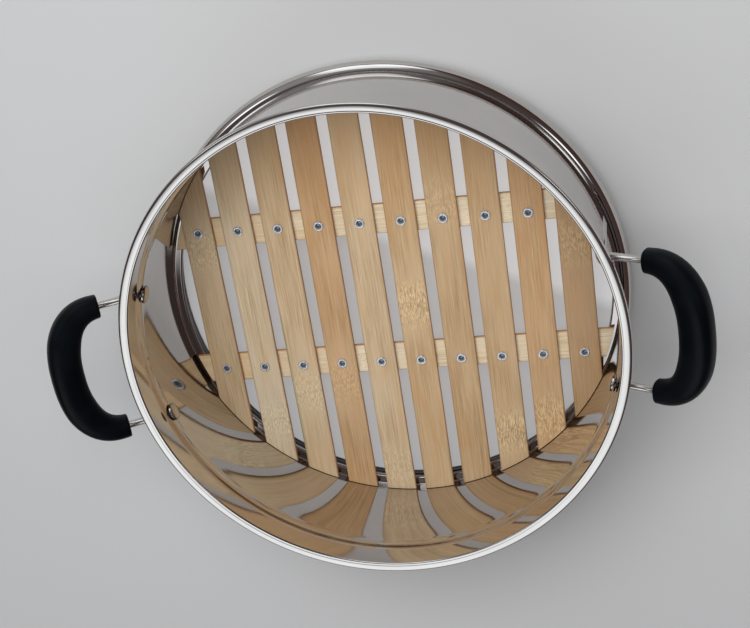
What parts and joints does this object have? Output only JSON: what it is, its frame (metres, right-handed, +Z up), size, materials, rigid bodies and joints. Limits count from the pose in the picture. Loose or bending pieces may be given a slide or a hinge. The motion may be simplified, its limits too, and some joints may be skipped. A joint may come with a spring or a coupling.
{
  "type": "steamer basket",
  "caption": "Round polished steel steamer tier with a rolled rim, a seat bead and side D handles, holding a loose riveted bamboo slat grate that food is steamed on",
  "frame": {"origin": "on the ring's axis at the level of the bottom hem, which is the middle of the bounding box's underside", "axes": "+X runs through the two handles, +Y along the slats to the back batten, +Z up out of the open top"},
  "size_m": [0.404, 0.31, 0.1231],
  "materials": {
    "polished_steel": "mirror polished stainless steel sheet",
    "wire_steel": "drawn stainless steel wire",
    "rivet_steel": "bright plated tubular rivet",
    "bamboo": "planed raw bamboo, warm tan",
    "pale_bamboo": "planed raw bamboo, pale cream",
    "grip_plastic": "black semi-matte moulded plastic"
  },
  "bodies": {
    "tier": {"steel_ring": "polished_steel", "handle_wire_left": "wire_steel", "handle_wire_right": "wire_steel", "handle_grip_left": "grip_plastic", "handle_grip_right": "grip_plastic"},
    "grate": {"batten_front": "pale_bamboo", "batten_back": "pale_bamboo", "slat_01": "bamboo", "slat_02": "bamboo", "slat_03": "bamboo", "slat_04": "bamboo", "slat_05": "bamboo", "slat_06": "bamboo", "slat_07": "bamboo", "slat_08": "bamboo", "slat_09": "bamboo", "slat_10": "bamboo", "rivet_front_01": "rivet_steel", "rivet_front_02": "rivet_steel", "rivet_front_03": "rivet_steel", "rivet_front_04": "rivet_steel", "rivet_front_05": "rivet_steel", "rivet_front_06": "rivet_steel", "rivet_front_07": "rivet_steel", "rivet_front_08": "rivet_steel", "rivet_front_09": "rivet_steel", "rivet_front_10": "rivet_steel", "rivet_back_01": "rivet_steel", "rivet_back_02": "rivet_steel", "rivet_back_03": "rivet_steel", "rivet_back_04": "rivet_steel", "rivet_back_05": "rivet_steel", "rivet_back_06": "rivet_steel", "rivet_back_07": "rivet_steel", "rivet_back_08": "rivet_steel", "rivet_back_09": "rivet_steel", "rivet_back_10": "rivet_steel"}
  },
  "joints": [
    {"name": "grate_lift", "type": "slide", "parent": "tier", "child": "grate", "axis": [0, 0, 1], "range_m": [0, 0.12]}
  ]
}
